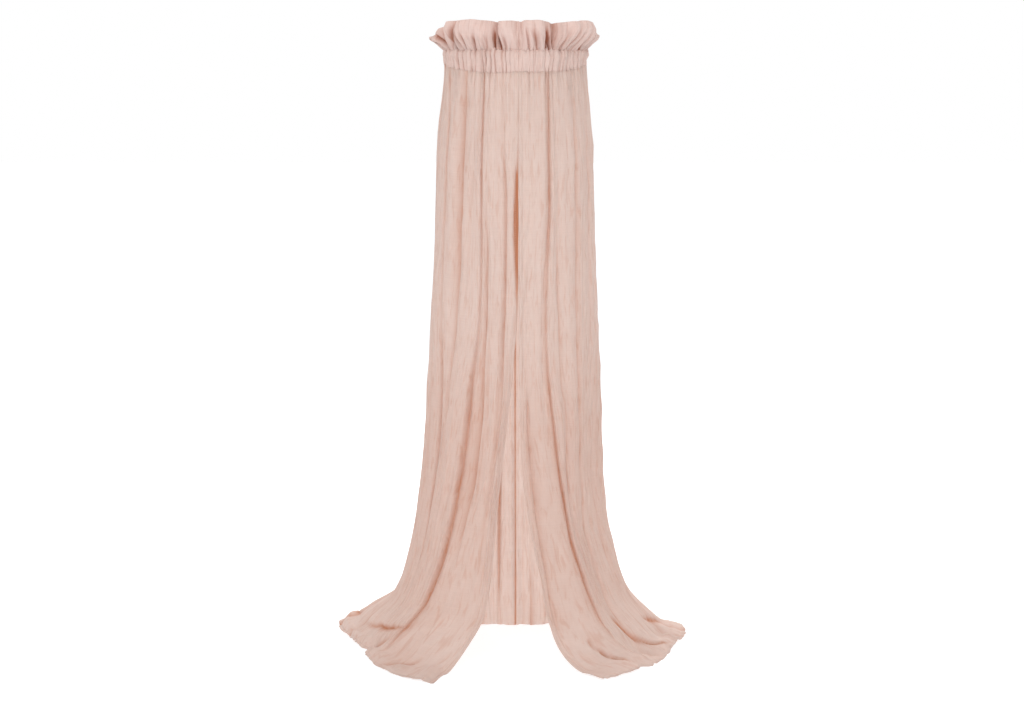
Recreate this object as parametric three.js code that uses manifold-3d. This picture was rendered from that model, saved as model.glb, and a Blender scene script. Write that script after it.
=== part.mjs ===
// A gathered bed canopy. Two crinkled cotton drapes hang from a hoop that runs in a stitched
// pocket, with a ruffled heading above it. They are sewn together at the back, meet at the
// front, and sweep out over the floor. Millimetres, +Z up, the front towards -Y.
// The origin is the centre of the hoop.
import * as THREE from 'three';
import { mergeVertices } from 'three/addons/utils/BufferGeometryUtils.js';
import Module from 'manifold-3d';

const wasm = await Module();
wasm.setup();

// Hoop: two bent tubes on spigots
const hoopRadius = 155;
const hoopHeight = 1397;
const tubeRadius = 3.5;
const tubeWall = 0.9;
const spigotReach = 28;
const spigotChamfer = 1.2;
const collarLength = 4;
const seatGap = 0.3;

// Hanging tapes, and the rings in their ends
const tapeWidth = 16;
const tapeThickness = 0.8;
const tapeFit = 0.5;
const tapeRise = 38;
const tapeLean = 23;
const tapeLapFoot = 12;
const tapeLap = 22;
const frontTapeAngle = 45;
const backTapeAngle = 135;
const ringWire = 1.5;
const ringInside = 20;
const ringSide = 1.5;
const ringCorner = 2.5;

// Rod pocket, the cloth casing that the hoop runs in
const pocketWall = 1.2;
const pocketDrop = 43;
const pocketSlack = 1.5;
const pocketSeam = 3.5;
const pucker = 4.5;
const puckerCount = 22;

// Heading, the ruffle above the pocket
const headingHeight = 66;
const headingWall = 2.4;
const headingReach = 45;
const headingTuck = 9;
const headingDip = 12;

// Drapes and their front hems
const drapeWall = 1.5;
const foldDepth = 32;
const ridgeHeight = 16;
const hemWidth = 14;
const hemWall = 2.4;
const hemCrown = 0.8;
const frontMeet = 7;
const frontGap = 1;

// Facets
const tubeSides = 10;
const wireSides = 8;
const hoopSteps = 32;
const cornerSteps = 3;
const archSteps = 12;

const left = -1;
const right = 1;
const degree = Math.PI / 180;
const half = 0.5;
const floor = -hoopHeight;
const pocketRoof = tubeRadius + tapeFit + tapeThickness + seatGap;
const headingBase = pocketRoof + pocketWall + seatGap;
const drapeTop = -pocketDrop - seatGap;

// Levels of a drape from its top edge to its hem on the floor. Height is a share of the drop.
// Front (how far the cloth stands towards the viewer), side and back are shares of the hoop's
// radius, and so is open, the front edge's way from the meeting line. Fold and ridge are
// shares of the fold depth and the ridge height, and tip is the extra sweep behind each side.
const leftLevelShares = [
  { height: 1.0, open: 0.0, front: 1.03, side: 1.03, back: 1.03, fold: 0.15, tip: 0.0 },
  { height: 0.967, open: 0.0, front: 1.07, side: 1.1, back: 1.085, fold: 0.45, tip: 0.0 },
  { height: 0.864, open: 0.016, front: 1.11, side: 1.17, back: 1.135, fold: 0.78, tip: 0.0 },
  { height: 0.687, open: 0.035, front: 1.16, side: 1.23, back: 1.175, fold: 0.94, tip: 0.0 },
  { height: 0.51, open: 0.094, front: 1.2, side: 1.3, back: 1.2, fold: 0.97, tip: 0.0 },
  { height: 0.355, open: 0.255, front: 1.245, side: 1.36, back: 1.215, fold: 1.0, tip: 0.0 },
  { height: 0.244, open: 0.365, front: 1.29, side: 1.47, back: 1.225, fold: 1.0, tip: 0.0 },
  { height: 0.159, open: 0.41, front: 1.34, side: 1.61, back: 1.225, fold: 1.03, tip: 0.01 },
  { height: 0.096, open: 0.494, front: 1.4, side: 1.775, back: 1.23, fold: 1.06, tip: 0.04 },
  { height: 0.044, open: 0.739, front: 1.51, side: 2.13, back: 1.26, fold: 1.06, tip: 0.09 },
  { height: 0.0, open: 1.01, front: 1.69, side: 2.335, back: 1.32, fold: 0.95, tip: 0.15, ridge: 1.0 },
  { height: 0.0, open: 1.229, front: 2.15, side: 2.5, back: 1.755, fold: 0.5, tip: 0.23, ridge: 0.5 },
];
const rightLevelShares = [
  { height: 1.0, open: 0.0, front: 1.03, side: 1.03, back: 1.03, fold: 0.15, tip: 0.0 },
  { height: 0.967, open: 0.0, front: 1.07, side: 1.085, back: 1.085, fold: 0.45, tip: 0.0 },
  { height: 0.864, open: 0.003, front: 1.11, side: 1.155, back: 1.135, fold: 0.78, tip: 0.0 },
  { height: 0.687, open: 0.01, front: 1.16, side: 1.23, back: 1.175, fold: 0.94, tip: 0.0 },
  { height: 0.51, open: 0.01, front: 1.2, side: 1.275, back: 1.2, fold: 0.97, tip: 0.0 },
  { height: 0.355, open: 0.042, front: 1.245, side: 1.3, back: 1.215, fold: 1.0, tip: 0.0 },
  { height: 0.244, open: 0.171, front: 1.29, side: 1.37, back: 1.225, fold: 1.0, tip: 0.0 },
  { height: 0.159, open: 0.32, front: 1.34, side: 1.535, back: 1.225, fold: 1.03, tip: 0.01 },
  { height: 0.096, open: 0.41, front: 1.4, side: 1.69, back: 1.23, fold: 1.06, tip: 0.03 },
  { height: 0.044, open: 0.55, front: 1.51, side: 2.0, back: 1.26, fold: 1.06, tip: 0.07 },
  { height: 0.0, open: 0.855, front: 1.69, side: 2.27, back: 1.32, fold: 0.95, tip: 0.12, ridge: 1.0 },
  { height: 0.0, open: 1.229, front: 2.0, side: 2.44, back: 1.755, fold: 0.5, tip: 0.18, ridge: 0.5 },
];
const tipAngle = 115;
const tipSpread = 22;

// Folds of each drape: where each valley lies, as a share of the way from the front edge to
// the back seam, and its depth as a share of the fold depth
const leftValleyShares = [
  [0.067, 0.5], [0.15, 0.75], [0.211, 1.05], [0.3, 1.05], [0.39, 0.85], [0.47, 1.1],
  [0.56, 0.9], [0.64, 1.05], [0.73, 0.85], [0.81, 1.0], [0.9, 0.8],
];
const rightValleyShares = [
  [0.056, 0.4], [0.122, 1.1], [0.239, 1.1], [0.364, 0.9], [0.45, 1.0], [0.53, 0.8],
  [0.61, 1.1], [0.7, 0.9], [0.78, 1.05], [0.86, 0.85], [0.93, 0.8],
];
const shoulderShare = 0.17;
const shoulderDepthShare = 0.14;

// Lobes of the heading: where the notches lie, from the front to the back seam, and how far
// each lobe reaches
const leftNotchShares = [0.072, 0.322, 0.53, 0.69, 0.86];
const leftLobeShares = [0.75, 0.9, 1.0, 0.9, 0.95, 0.85];
const rightNotchShares = [0.144, 0.47, 0.64, 0.83];
const rightLobeShares = [0.9, 1.0, 0.95, 0.9, 0.85];
const lobeShares = [[0.0, 0.0], [0.08, 0.55], [0.22, 0.9], [0.5, 1.0], [0.78, 0.9], [0.92, 0.55]];
const headingRowShares = [[0.0, 0.0], [0.12, 0.5], [0.35, 1.0], [0.7, 0.88], [1.0, 0.66]];
const endLobeShare = 0.6;

// Least cosine between a face of cloth and the way it is thickened at a sharp fold
const steepestTurn = 0.42;

// A point at an angle from the front, on the left or right side of the hoop's axis
function around(side, angle, radius, z) {
  return new THREE.Vector3(side * radius * Math.sin(angle), -radius * Math.cos(angle), z);
}

function smooth(share) {
  const t = THREE.MathUtils.clamp(share, 0, 1);
  return t * t * (3 - 2 * t);
}

// One closed body from points and triangles, turned so that its faces point out
function body(points, triangles) {
  let volume = 0;
  const cross = new THREE.Vector3();
  for (let n = 0; n < triangles.length; n += 3) {
    const [a, b, c] = [0, 1, 2].map((k) => points[triangles[n + k]]);
    volume += cross.crossVectors(a, b).dot(c);
  }
  const facing = volume > 0 ? triangles : triangles.toReversed();
  const geometry = new THREE.BufferGeometry().setFromPoints(points);
  geometry.setIndex(facing);
  geometry.computeVertexNormals();
  return geometry;
}

function quad(a, b, c, d) {
  return [a, b, c, a, c, d];
}

// A swept body: rings of points in order, with an inner ring for each outer one, or none
function sweep(outerRings, innerRings = null, loop = false) {
  const sides = outerRings[0].length;
  const count = outerRings.length;
  const points = outerRings.concat(innerRings ?? []).flat();
  const at = (ring, k) => (ring % count) * sides + (k % sides);
  const inner = (ring, k) => count * sides + at(ring, k);
  const triangles = [];
  for (let i = 0; i < (loop ? count : count - 1); i += 1) {
    for (let k = 0; k < sides; k += 1) {
      triangles.push(...quad(at(i, k), at(i, k + 1), at(i + 1, k + 1), at(i + 1, k)));
      if (innerRings) {
        triangles.push(...quad(inner(i, k), inner(i + 1, k), inner(i + 1, k + 1), inner(i, k + 1)));
      }
    }
  }
  for (let k = 0; k < sides && !loop; k += 1) {
    if (innerRings) {
      triangles.push(...quad(at(0, k), inner(0, k), inner(0, k + 1), at(0, k + 1)));
      const last = count - 1;
      triangles.push(...quad(at(last, k), at(last, k + 1), inner(last, k + 1), inner(last, k)));
    } else if (k > 0 && k < sides - 1) {
      triangles.push(at(0, 0), at(0, k + 1), at(0, k));
      triangles.push(at(count - 1, 0), at(count - 1, k), at(count - 1, k + 1));
    }
  }
  return body(points, triangles);
}

// How far a point of a side edge moves to reach the inner face, square to the hoop: the reach
// from the axis and the height
function edgeStep(rows, i, j, thickness) {
  const place = (row) => new THREE.Vector2(Math.hypot(row[j].x, row[j].y), row[j].z);
  const downwards = Math.sign(rows[0][j].z - rows.at(-1)[j].z);
  const ways = [[i - 1, i], [i, i + 1]]
    .filter(([from, to]) => rows[from] && rows[to])
    .map(([from, to]) => place(rows[to]).sub(place(rows[from])).normalize())
    .map((way) => new THREE.Vector2(way.y, -way.x).multiplyScalar(downwards));
  const normal = ways.reduce((sum, way) => sum.add(way), new THREE.Vector2()).normalize();
  return normal.multiplyScalar(thickness / Math.max(steepestTurn, ways[0].dot(normal)));
}

// A sheet of cloth, rows of points over its outer face, thickened towards its inner face.
// Its side edges stay square to the hoop, and no point of the inner face goes below the
// lowest level given.
function cloth(rows, thickness, lowest) {
  const columns = rows[0].length;
  const points = rows.flat();
  const at = (i, j) => i * columns + j;
  const faces = [];
  for (let i = 0; i < rows.length - 1; i += 1) {
    for (let j = 0; j < columns - 1; j += 1) {
      faces.push([at(i, j), at(i, j + 1), at(i + 1, j + 1)]);
      faces.push([at(i, j), at(i + 1, j + 1), at(i + 1, j)]);
    }
  }
  const touching = points.map(() => []);
  faces.forEach((face) => {
    const [a, b, c] = face.map((n) => points[n]);
    const normal = b.clone().sub(a).cross(c.clone().sub(a)).normalize();
    face.forEach((n) => touching[n].push(normal));
  });
  const outwards = points[0].clone().setZ(0);
  const inwards = -Math.sign(touching[0][0].dot(outwards));
  const inner = points.map((point, n) => {
    const j = n % columns;
    const moved = point.clone();
    if (j === 0 || j === columns - 1) {
      const step = edgeStep(rows, Math.floor(n / columns), j, thickness);
      const reach = Math.hypot(point.x, point.y);
      moved.multiplyScalar(1 + step.x / reach).setZ(point.z + step.y);
    } else {
      const normal = new THREE.Vector3();
      touching[n].forEach((one) => normal.add(one));
      normal.normalize();
      const least = Math.min(...touching[n].map((one) => one.dot(normal)));
      moved.addScaledVector(normal, (inwards * thickness) / Math.max(steepestTurn, least));
    }
    const lies = point.z <= lowest + thickness;
    return moved.setZ(lies ? lowest : Math.max(moved.z, lowest));
  });
  const under = points.length;
  const triangles = faces.flatMap(([a, b, c]) => [a, b, c, a + under, c + under, b + under]);
  const rim = [];
  for (let j = 0; j < columns; j += 1) rim.push(at(0, j));
  for (let i = 1; i < rows.length; i += 1) rim.push(at(i, columns - 1));
  for (let j = columns - 2; j >= 0; j -= 1) rim.push(at(rows.length - 1, j));
  for (let i = rows.length - 2; i > 0; i -= 1) rim.push(at(i, 0));
  rim.forEach((a, n) => {
    const b = rim[(n + 1) % rim.length];
    triangles.push(b, a, a + under, b, a + under, b + under);
  });
  return body(points.concat(inner), triangles);
}

// Cut or join with closed solids
function solid(geometry) {
  const bare = geometry.clone();
  bare.deleteAttribute('normal');
  bare.deleteAttribute('uv');
  const merged = mergeVertices(bare);
  return new wasm.Manifold(new wasm.Mesh({
    numProp: 3,
    vertProperties: new Float32Array(merged.attributes.position.array),
    triVerts: new Uint32Array(merged.index.array),
  }));
}

function geometryOf(manifold) {
  const mesh = manifold.getMesh();
  const geometry = new THREE.BufferGeometry();
  geometry.setAttribute('position', new THREE.BufferAttribute(mesh.vertProperties, mesh.numProp));
  geometry.setIndex(new THREE.BufferAttribute(mesh.triVerts, 1));
  geometry.computeVertexNormals();
  return geometry;
}

// A ring of the outline's points, [outwards from the hoop's tube, up], at an angle
function section(side, angle, outline) {
  return outline.map(([out, up]) => around(side, angle, hoopRadius + out, up));
}

function circle(radius, sides) {
  return Array.from({ length: sides }, (_, k) => {
    const turn = (2 * Math.PI * k) / sides;
    return [radius * Math.cos(turn), radius * Math.sin(turn)];
  });
}

// Angles of the hoop's facets between two ends
function hoopAngles(from, to) {
  const step = Math.PI / hoopSteps;
  const between = [];
  for (let n = Math.ceil(from / step); n * step < to; n += 1) {
    between.push(n * step);
  }
  return [from, ...between, to];
}

// Half of the hoop: a bent tube, open at both ends
function hoopHalf(middle) {
  const end = (collarLength / 2 + seatGap) / hoopRadius;
  const angles = hoopAngles(middle - Math.PI / 2 + end, middle + Math.PI / 2 - end);
  const outline = circle(tubeRadius, tubeSides);
  const bore = circle(tubeRadius - tubeWall, tubeSides);
  const rings = (shape) => angles.map((angle) => section(right, angle, shape));
  return sweep(rings(outline), rings(bore));
}

// Spigot in the ends of both tubes, with a collar that parts them
function spigot(middle) {
  const pin = tubeRadius - tubeWall - seatGap;
  const tip = spigotReach / hoopRadius;
  const shoulder = collarLength / 2 / hoopRadius;
  const step = Math.PI / hoopSteps;
  const profile = [
    [-tip, pin - spigotChamfer], [spigotChamfer / hoopRadius - tip, pin], [-step, pin],
    [-shoulder, pin], [-shoulder, tubeRadius], [shoulder, tubeRadius], [shoulder, pin],
    [step, pin], [tip - spigotChamfer / hoopRadius, pin], [tip, pin - spigotChamfer],
  ];
  return sweep(profile.map(([turn, radius]) => (
    section(right, middle + turn, circle(radius, tubeSides))
  )));
}

// The frame of a hanging tape: outwards, up and across, at the hoop's tube
function tapeFrame(side, angle) {
  const outwards = around(side, angle, 1, 0);
  const up = new THREE.Vector3(0, 0, 1);
  const across = outwards.clone().cross(up);
  const place = around(side, angle, hoopRadius, 0);
  return new THREE.Matrix4().makeBasis(outwards, up, across).setPosition(place);
}

// A tape loop: round the tube at its foot, sewn flat, and round the ring's bar at its head.
// Its end laps over it on the outer side, above the pocket.
function tape(side, angle) {
  const lean = Math.atan2(tapeRise, -tapeLean);
  const foot = tubeRadius + tapeFit + tapeThickness;
  const head = ringWire + seatGap + tapeThickness;
  const footTurn = Math.asin(tapeThickness / foot);
  const headTurn = Math.asin(tapeThickness / head);
  const upwards = new THREE.Vector2(Math.cos(lean), Math.sin(lean));
  const lapHead = tapeLapFoot + tapeLap;
  const flank = (along, layers) => new THREE.Vector2(upwards.y, -upwards.x)
    .multiplyScalar(layers * tapeThickness)
    .addScaledVector(upwards, along);
  const shape = new THREE.Shape();
  shape.absarc(0, 0, foot, lean + footTurn, lean - footTurn + 2 * Math.PI);
  [[tapeLapFoot, 1], [tapeLapFoot, 2], [lapHead, 2], [lapHead, 1]].forEach(([along, layers]) => {
    const corner = flank(along, layers);
    shape.lineTo(corner.x, corner.y);
  });
  shape.absarc(-tapeLean, tapeRise, head, lean + Math.PI + headTurn, lean + 3 * Math.PI - headTurn);
  const hole = (x, y, radius) => new THREE.Path().absarc(x, y, radius, 0, 2 * Math.PI, true);
  shape.holes = [
    hole(0, 0, tubeRadius + tapeFit),
    hole(-tapeLean, tapeRise, ringWire + seatGap),
  ];
  const geometry = new THREE.ExtrudeGeometry(shape, {
    depth: tapeWidth, bevelEnabled: false, curveSegments: tubeSides,
  });
  geometry.translate(0, 0, -half * tapeWidth);
  return geometry.applyMatrix4(tapeFrame(side, angle));
}

// The slit that a tape comes out by
function slit(side, angle) {
  const length = tapeRise * half;
  const cutter = new THREE.BoxGeometry(
    2 * (tapeThickness + seatGap), length, tapeWidth + 2 * seatGap,
  );
  cutter.translate(0, half * length, 0);
  cutter.rotateZ(Math.atan2(tapeRise, -tapeLean) - Math.PI / 2);
  return solid(cutter.applyMatrix4(tapeFrame(side, angle)));
}

// Stops along an arc: the way outwards from its centre, and the place
function arcStops(x, y, radius, from, to, steps) {
  return Array.from({ length: steps + 1 }, (_, n) => {
    const turn = from + ((to - from) * n) / steps;
    const outwards = new THREE.Vector2(Math.cos(turn), Math.sin(turn));
    return { outwards, place: new THREE.Vector2(x, y).addScaledVector(outwards, radius) };
  });
}

// A D-shaped wire ring, its straight bar in the tape's head
function dRing(side, angle) {
  const reach = half * ringInside + ringWire;
  const bend = reach - ringCorner;
  const stops = [
    ...arcStops(bend, ringCorner, ringCorner, -Math.PI / 2, 0, cornerSteps),
    ...arcStops(0, ringCorner + ringSide, reach, 0, Math.PI, archSteps),
    ...arcStops(-bend, ringCorner, ringCorner, Math.PI, 1.5 * Math.PI, cornerSteps),
  ];
  const frame = tapeFrame(side, angle);
  const rings = stops.map(({ outwards, place }) => circle(ringWire, wireSides).map(([x, y]) => {
    const across = place.x + outwards.x * y;
    const up = tapeRise + place.y + outwards.y * y;
    return new THREE.Vector3(x - tapeLean, up, across).applyMatrix4(frame);
  }));
  return sweep(rings, null, true);
}

// Angle of a panel's front edge at the meeting line, at a radius
function meetingAngle(side, radius) {
  return Math.asin((side * frontMeet + half * frontGap) / radius);
}

function seamAngle(radius) {
  return Math.PI - (half * seatGap) / radius;
}

// Rod pocket of one panel: two layers of cloth, stitched together below, over the hoop
function casing(side) {
  const outside = tubeRadius + tapeFit + tapeThickness + seatGap + pocketSlack;
  const middle = -half * pocketDrop;
  const columns = 2 * puckerCount;
  const start = meetingAngle(side, hoopRadius);
  const end = seamAngle(hoopRadius);
  const outline = (swell, wall) => [
    [pocketWall * 1.5 - wall * half, wall * 2 - pocketDrop],
    [outside + swell + pocketWall - wall, middle],
    [outside + swell * 0.8 + pocketWall - wall, 0],
    [pocketSeam + pocketWall - wall, pocketRoof + pocketWall - wall],
    [wall - pocketSeam - pocketWall, pocketRoof + pocketWall - wall],
    [wall - outside - pocketWall, 0],
    [wall - outside + swell * half, middle],
    [-pocketWall * half + wall * half, wall * 2 - pocketDrop],
  ];
  const rings = (wall) => Array.from({ length: columns + 1 }, (_, n) => {
    const swell = n % 2 ? pucker : 0;
    return section(side, start + ((end - start) * n) / columns, outline(swell, wall));
  });
  const whole = solid(sweep(rings(0), rings(pocketWall)));
  const slits = [frontTapeAngle, backTapeAngle].map((turn) => slit(side, turn * degree));
  return geometryOf(slits.reduce((rest, cutter) => rest.subtract(cutter), whole));
}

// Ruffled heading of one panel, a double layer with a folded top edge
function heading(side, notches, lobes) {
  const base = hoopRadius + pocketSeam * half + headingWall * half;
  const start = meetingAngle(side, base);
  const end = seamAngle(base);
  const bounds = [0, ...notches, 1];
  const columns = lobes.flatMap((reach, n) => lobeShares.map(([along, lift]) => ({
    share: bounds[n] + (bounds[n + 1] - bounds[n]) * along,
    lift: n === 0 || n === notches.length ? Math.max(lift, endLobeShare) : lift,
    reach,
  })));
  columns.push({ share: 1, lift: endLobeShare, reach: lobes.at(-1) });
  const rows = headingRowShares.map(([rise, flare]) => columns.map(({ share, lift, reach }) => {
    const out = flare * (lift * reach * headingReach - (1 - lift) * headingTuck);
    const up = rise * (headingHeight - headingDip * (1 - lift));
    return around(side, start + (end - start) * share, base + out, headingBase + up);
  }));
  return cloth(rows, headingWall, headingBase);
}

// Envelope of a drape at one level: its front edge's angle, and its reach at any angle
function envelope(side, level) {
  const x = frontMeet + side * (half * frontGap + level.open * hoopRadius);
  const y = level.front * hoopRadius;
  const edge = Math.atan2(side * x, y);
  const edgeReach = Math.hypot(x, y);
  const quarter = Math.PI / 2;
  const reach = (angle) => {
    const near = smooth((angle - edge) / (quarter - edge));
    const far = smooth((angle - quarter) / quarter);
    const round = THREE.MathUtils.lerp(edgeReach / hoopRadius, level.side, near);
    const sweptBack = Math.exp(-(((angle / degree - tipAngle) / tipSpread) ** 2));
    return hoopRadius * THREE.MathUtils.lerp(round, level.back, far) * (1 + level.tip * sweptBack);
  };
  return { edge, reach };
}

// Height of the cloth's upper face at a level, where lift is 1 on a fold's crown
function clothHeight(level, lift, wall) {
  const drop = hoopHeight + drapeTop;
  const ridge = (level.ridge ?? 0) * ridgeHeight * lift;
  return floor + Math.max(level.height * drop, wall + ridge);
}

// One hanging drape, with broad folds between narrow valleys
function drape(side, levels, valleys) {
  const columns = [{ share: 0, sink: 0, lift: 0 }];
  valleys.forEach(([share, depth], n) => {
    const before = n ? valleys[n - 1][0] : 0;
    const after = n < valleys.length - 1 ? valleys[n + 1][0] : 1;
    const shoulder = depth * shoulderDepthShare;
    columns.push({ share: share - (share - before) * shoulderShare, sink: shoulder });
    columns.push({ share, sink: depth });
    columns.push({ share: share + (after - share) * shoulderShare, sink: shoulder });
    if (n < valleys.length - 1) columns.push({ share: half * (share + after), sink: 0 });
  });
  columns.push({ share: 1, sink: 0 });
  const rows = levels.map((level) => {
    const { edge, reach } = envelope(side, level);
    const start = edge + hemWidth / reach(edge);
    const end = seamAngle(reach(Math.PI));
    return columns.map(({ share, sink, lift = 1 - Math.min(sink, 1) }) => {
      const angle = start + (end - start) * share;
      const inwards = foldDepth * level.fold * sink;
      const z = clothHeight(level, lift, share > 0 ? drapeWall : hemWall);
      return around(side, angle, reach(angle) - inwards, z);
    });
  });
  return cloth(rows, drapeWall, floor);
}

// Turned hem down a drape's front edge, which is taken hold of to draw it open
function frontHem(side, levels) {
  const crowns = [0, half, 1];
  const rows = levels.map((level) => {
    const { edge, reach } = envelope(side, level);
    const width = (hemWidth - seatGap) / reach(edge);
    return crowns.map((share) => {
      const crown = hemCrown * (1 - Math.abs(2 * share - 1));
      const z = clothHeight(level, 0, hemWall);
      const swell = level.height > 0 ? crown : 0;
      const angle = edge + width * share;
      return around(side, angle, reach(angle) + swell, z);
    });
  });
  return cloth(rows, hemWall, floor);
}

// Materials
const cotton = { color: 0xe0c4ba, roughness: 0.95, metalness: 0 };
const cottonTape = { color: 0xe9dccf, roughness: 0.9, metalness: 0 };
const coatedSteel = { color: 0xf2f0ec, roughness: 0.45, metalness: 0 };
const brightSteel = { color: 0xc9cbcd, roughness: 0.25, metalness: 1 };

const canopy = new THREE.Group();

function add(name, geometry, finish) {
  const mesh = new THREE.Mesh(geometry, new THREE.MeshStandardMaterial(finish));
  mesh.name = name;
  canopy.add(mesh);
}

add('hoop_half_front', hoopHalf(0), coatedSteel);
add('hoop_half_back', hoopHalf(Math.PI), coatedSteel);
add('hoop_spigot_right', spigot(Math.PI / 2), brightSteel);
add('hoop_spigot_left', spigot(-Math.PI / 2), brightSteel);

const hangers = [
  ['front_left', left, frontTapeAngle * degree],
  ['front_right', right, frontTapeAngle * degree],
  ['back_left', left, backTapeAngle * degree],
  ['back_right', right, backTapeAngle * degree],
];
for (const [where, side, angle] of hangers) {
  add(`hanging_tape_${where}`, tape(side, angle), cottonTape);
  add(`hanging_ring_${where}`, dRing(side, angle), brightSteel);
}

const panels = [
  {
    where: 'left', side: left, levels: leftLevelShares, valleys: leftValleyShares,
    notches: leftNotchShares, lobes: leftLobeShares,
  },
  {
    where: 'right', side: right, levels: rightLevelShares, valleys: rightValleyShares,
    notches: rightNotchShares, lobes: rightLobeShares,
  },
];
for (const { where, side, levels, valleys, notches, lobes } of panels) {
  add(`heading_${where}`, heading(side, notches, lobes), cotton);
  add(`casing_${where}`, casing(side), cotton);
  add(`drape_${where}`, drape(side, levels, valleys), cotton);
  add(`front_hem_${where}`, frontHem(side, levels), cotton);
}

export default canopy;
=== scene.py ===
"""A gathered bed canopy: two crinkled cotton drapes on a hoop, open at the front.

The cloth is drawn as the sewn panels hang. Each panel has a ruffled heading, a rod pocket that
is puckered on the hoop, and a drape that falls in folds and sweeps out over the floor. The same
puckers run through all three, as they do where one cloth is gathered on one ring.
Metres, +Z up, the front towards -Y. The origin is the centre of the hoop.
"""
import math

import bpy
import numpy as np
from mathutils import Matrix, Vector


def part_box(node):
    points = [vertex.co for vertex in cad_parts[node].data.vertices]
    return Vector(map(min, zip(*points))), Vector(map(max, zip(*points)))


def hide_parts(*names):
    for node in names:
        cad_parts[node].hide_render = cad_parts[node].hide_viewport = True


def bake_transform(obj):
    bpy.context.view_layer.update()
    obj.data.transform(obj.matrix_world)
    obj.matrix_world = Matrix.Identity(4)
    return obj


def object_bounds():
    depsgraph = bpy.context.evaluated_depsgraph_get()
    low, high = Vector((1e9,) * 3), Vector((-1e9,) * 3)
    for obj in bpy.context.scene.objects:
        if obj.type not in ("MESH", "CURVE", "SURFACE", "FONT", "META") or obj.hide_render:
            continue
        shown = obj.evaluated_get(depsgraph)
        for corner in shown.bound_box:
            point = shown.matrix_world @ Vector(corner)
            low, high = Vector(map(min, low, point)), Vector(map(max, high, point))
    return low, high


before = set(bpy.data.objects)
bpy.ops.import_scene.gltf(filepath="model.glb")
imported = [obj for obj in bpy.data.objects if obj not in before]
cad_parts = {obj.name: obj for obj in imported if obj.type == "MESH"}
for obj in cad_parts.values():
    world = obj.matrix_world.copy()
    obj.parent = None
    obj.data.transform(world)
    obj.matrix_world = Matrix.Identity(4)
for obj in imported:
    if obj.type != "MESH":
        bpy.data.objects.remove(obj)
cad_low, cad_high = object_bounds()

# Sizes of the hoop, taken from the frame
tube_low, tube_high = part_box("hoop_half_front")
tube_radius = (tube_high.z - tube_low.z) / 2
hoop_radius = -tube_low.y - tube_radius
floor = cad_low.z
hoop_height = -floor

# Sizes of the sewn cloth
panel_width = 1.05
drape_length = 1.46
cloth_thickness = 0.0008
seam_gap = 0.0003
seam_lap = 0.003
front_meet = 0.007
front_gap = 0.0008
hem_width = 0.014
hem_thickness = 0.0022
hem_raise = 0.0006
hem_stitch_share = 0.86
# The steps at the hem's edge, as shares of the width and of the fall
hem_step_across, hem_step_down = 0.0008, 0.0006

# Rod pocket
pocket_roof = 0.0085
pocket_drop = 0.043
pocket_lift = 0.018
pocket_half_depth = 0.0082
pocket_back_depth = 0.0068
pocket_cloth = 2 * (pocket_roof + pocket_drop)
roof_wave = 0.0048
tube_clear = 0.0010
seam_row_shares = (0.07, 0.95)
# How far it bellies out, and how far the seams hold its puckers, from its top down
belly_shares = ((0, 0.34), (0.1, 0.72), (0.26, 0.95), (0.6, 0.76), (0.9, 0.5), (1, 0.36))
held_shares = ((0, 1.0), (0.2, 0.8), (0.45, 0.36), (0.6, 0.36), (0.82, 0.8), (1, 1.0))
held_cover, held_contrast, full_held = 0.4, 0.7, 0.9
# Where its front is stretched smooth, as a share of the way to the back
smooth_front = {"left": 0.05, "right": 0.13}
smooth_front_share, smooth_front_power = 0.75, 6

# Puckers of the stitched seams
pucker_count = 46
pucker_height = 0.0105
pucker_middle = 0.6
pucker_wander = 0.006
pucker_roundness = 0.55
pucker_sizes = (0.4, 1.3)
back_pucker_share = -0.9
low_pucker_from, low_pucker_run = 0.35, 0.4
fine_pucker_front, fine_pucker_back, fine_roundness = 0.0018, -0.0022, 0.7
calm_end, calm_end_run = 0.7, 0.02

# Ruffled heading
heading_height = 0.064
heading_reach = 0.046
heading_tuck = 0.008
heading_dip = 0.008
heading_cloth = 0.0016
heading_stand = 0.0012
foot_depth, foot_rise = pucker_height, 0.42
small_depth, small_from, small_run, small_lost = 0.006, 0.25, 0.55, 0.8
lobe_roundness, small_roundness = 0.3, 0.6
middle_rise = 0.2
edge_wave, edge_from, edge_run = 0.0035, 0.3, 0.5
top_wave = 0.0016
sway_width = 0.006
droop_power = 2.2
ruffle_end_share, ruffle_end_run = 0.75, 0.03

# Creases of the heading, and the ranges that its scattered ones are drawn from
crease_depth, crease_lost, crease_power = 0.015, 0.85, 1.6
crease_full_share = 0.45
crease_places = (0.53, 0.98)
crease_moves = (-0.02, 0.04)
crease_strengths = (0.3, 1.1)
crease_widths = (0.0035, 0.006)
crease_reaches = (0.6, 1.0)

# Folds of the drape
fold_depth = 0.015
fold_steep, fold_gentle, fold_power = 0.0042, 0.0125, 1.5
fold_shoulder, shoulder_share = 0.026, 0.12
fold_lean = 0.006
steep_scatter, gentle_scatter, lean_scatter = (0.75, 1.1), (0.7, 1.3), (0.4, 1.0)
mid_fall = 0.45
sewn_run, lean_run = 0.02, 0.03
gather_run = 0.075

# Swells of the loose cloth between them
roll_depth = 0.0042
soft_depth = 0.0016
crumple_depth = 0.0016
patch_cover, patch_contrast = 0.5, 0.6

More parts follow.
